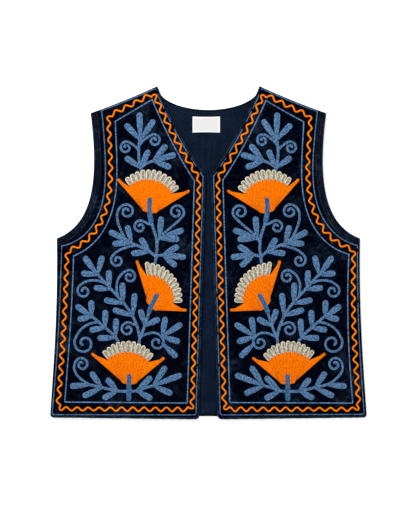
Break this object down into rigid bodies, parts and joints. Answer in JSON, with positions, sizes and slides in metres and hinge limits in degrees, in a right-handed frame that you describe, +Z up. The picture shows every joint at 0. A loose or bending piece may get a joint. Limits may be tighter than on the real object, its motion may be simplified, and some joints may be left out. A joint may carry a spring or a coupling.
{
  "type": "embroidered vest laid flat",
  "caption": "Sleeveless open-front velvet folk vest laid flat, with chain-stitch flowers, leaf sprays and a wavy border on both fronts",
  "frame": {"origin": "on the surface that the vest lies on, at the middle of its width and length", "axes": "+X to the wearer's left (viewer's right), +Y towards the neck, +Z up from the surface, out of the fronts"},
  "size_m": [0.524, 0.5502, 0.0094],
  "materials": {
    "velvet": "near-black navy pile velvet",
    "lining": "smooth navy lining",
    "blue_thread": "matt blue chain stitch",
    "orange_thread": "matt orange chain stitch",
    "cream_thread": "matt cream chain stitch",
    "label_white": "white woven tape"
  },
  "bodies": {
    "root": {"back_velvet": "velvet", "back_neck_roll": "velvet", "back_lining": "lining", "back_neck_facing": "lining", "label": "label_white", "front_left": "velvet", "edge_roll_left": "velvet", "armhole_band_front_left": "velvet", "armhole_band_back_left": "velvet", "outer_line_left": "blue_thread", "inner_line_left": "blue_thread", "wave_line_left": "orange_thread", "fan_top_left": "orange_thread", "petals_top_left": "cream_thread", "fan_middle_left": "orange_thread", "petals_middle_left": "cream_thread", "fan_bottom_left": "orange_thread", "petals_bottom_left": "cream_thread", "leaves_top_left": "blue_thread", "leaves_upper_left": "blue_thread", "leaves_middle_left": "blue_thread", "leaves_side_left": "blue_thread", "leaves_base_left": "blue_thread", "front_right": "velvet", "edge_roll_right": "velvet", "armhole_band_front_right": "velvet", "armhole_band_back_right": "velvet", "outer_line_right": "blue_thread", "inner_line_right": "blue_thread", "wave_line_right": "orange_thread", "fan_top_right": "orange_thread", "petals_top_right": "cream_thread", "fan_middle_right": "orange_thread", "petals_middle_right": "cream_thread", "fan_bottom_right": "orange_thread", "petals_bottom_right": "cream_thread", "leaves_top_right": "blue_thread", "leaves_upper_right": "blue_thread", "leaves_middle_right": "blue_thread", "leaves_side_right": "blue_thread", "leaves_base_right": "blue_thread"}
  },
  "joints": []
}
